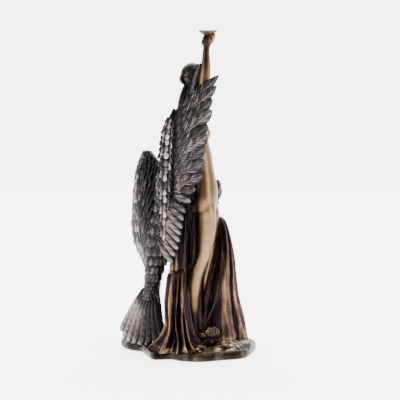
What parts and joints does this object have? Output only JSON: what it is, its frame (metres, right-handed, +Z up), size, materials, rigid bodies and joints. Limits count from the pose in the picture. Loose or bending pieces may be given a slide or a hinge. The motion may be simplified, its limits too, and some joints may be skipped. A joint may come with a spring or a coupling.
{
  "type": "hebe and eagle statue",
  "caption": "Bronze-finish figurine of a standing woman raising a shallow cup beside an eagle with a lifted wing, falling cloth and tail on a rocky base.",
  "frame": {"origin": "centre of the whole statue's box, on the flat underside of its base", "axes": "+Z up; +X the way the figure looks; -Y the figure's right side, where the eagle's raised wing and the cup are"},
  "size_m": [0.154, 0.126, 0.36],
  "materials": {
    "dark_bronze": "dark brown-black patina rubbed to pale gold on the high spots, satin",
    "pale_bronze": "light champagne bronze, satin"
  },
  "bodies": {
    "root": {"statue": "dark_bronze", "cup": "pale_bronze"}
  },
  "joints": []
}
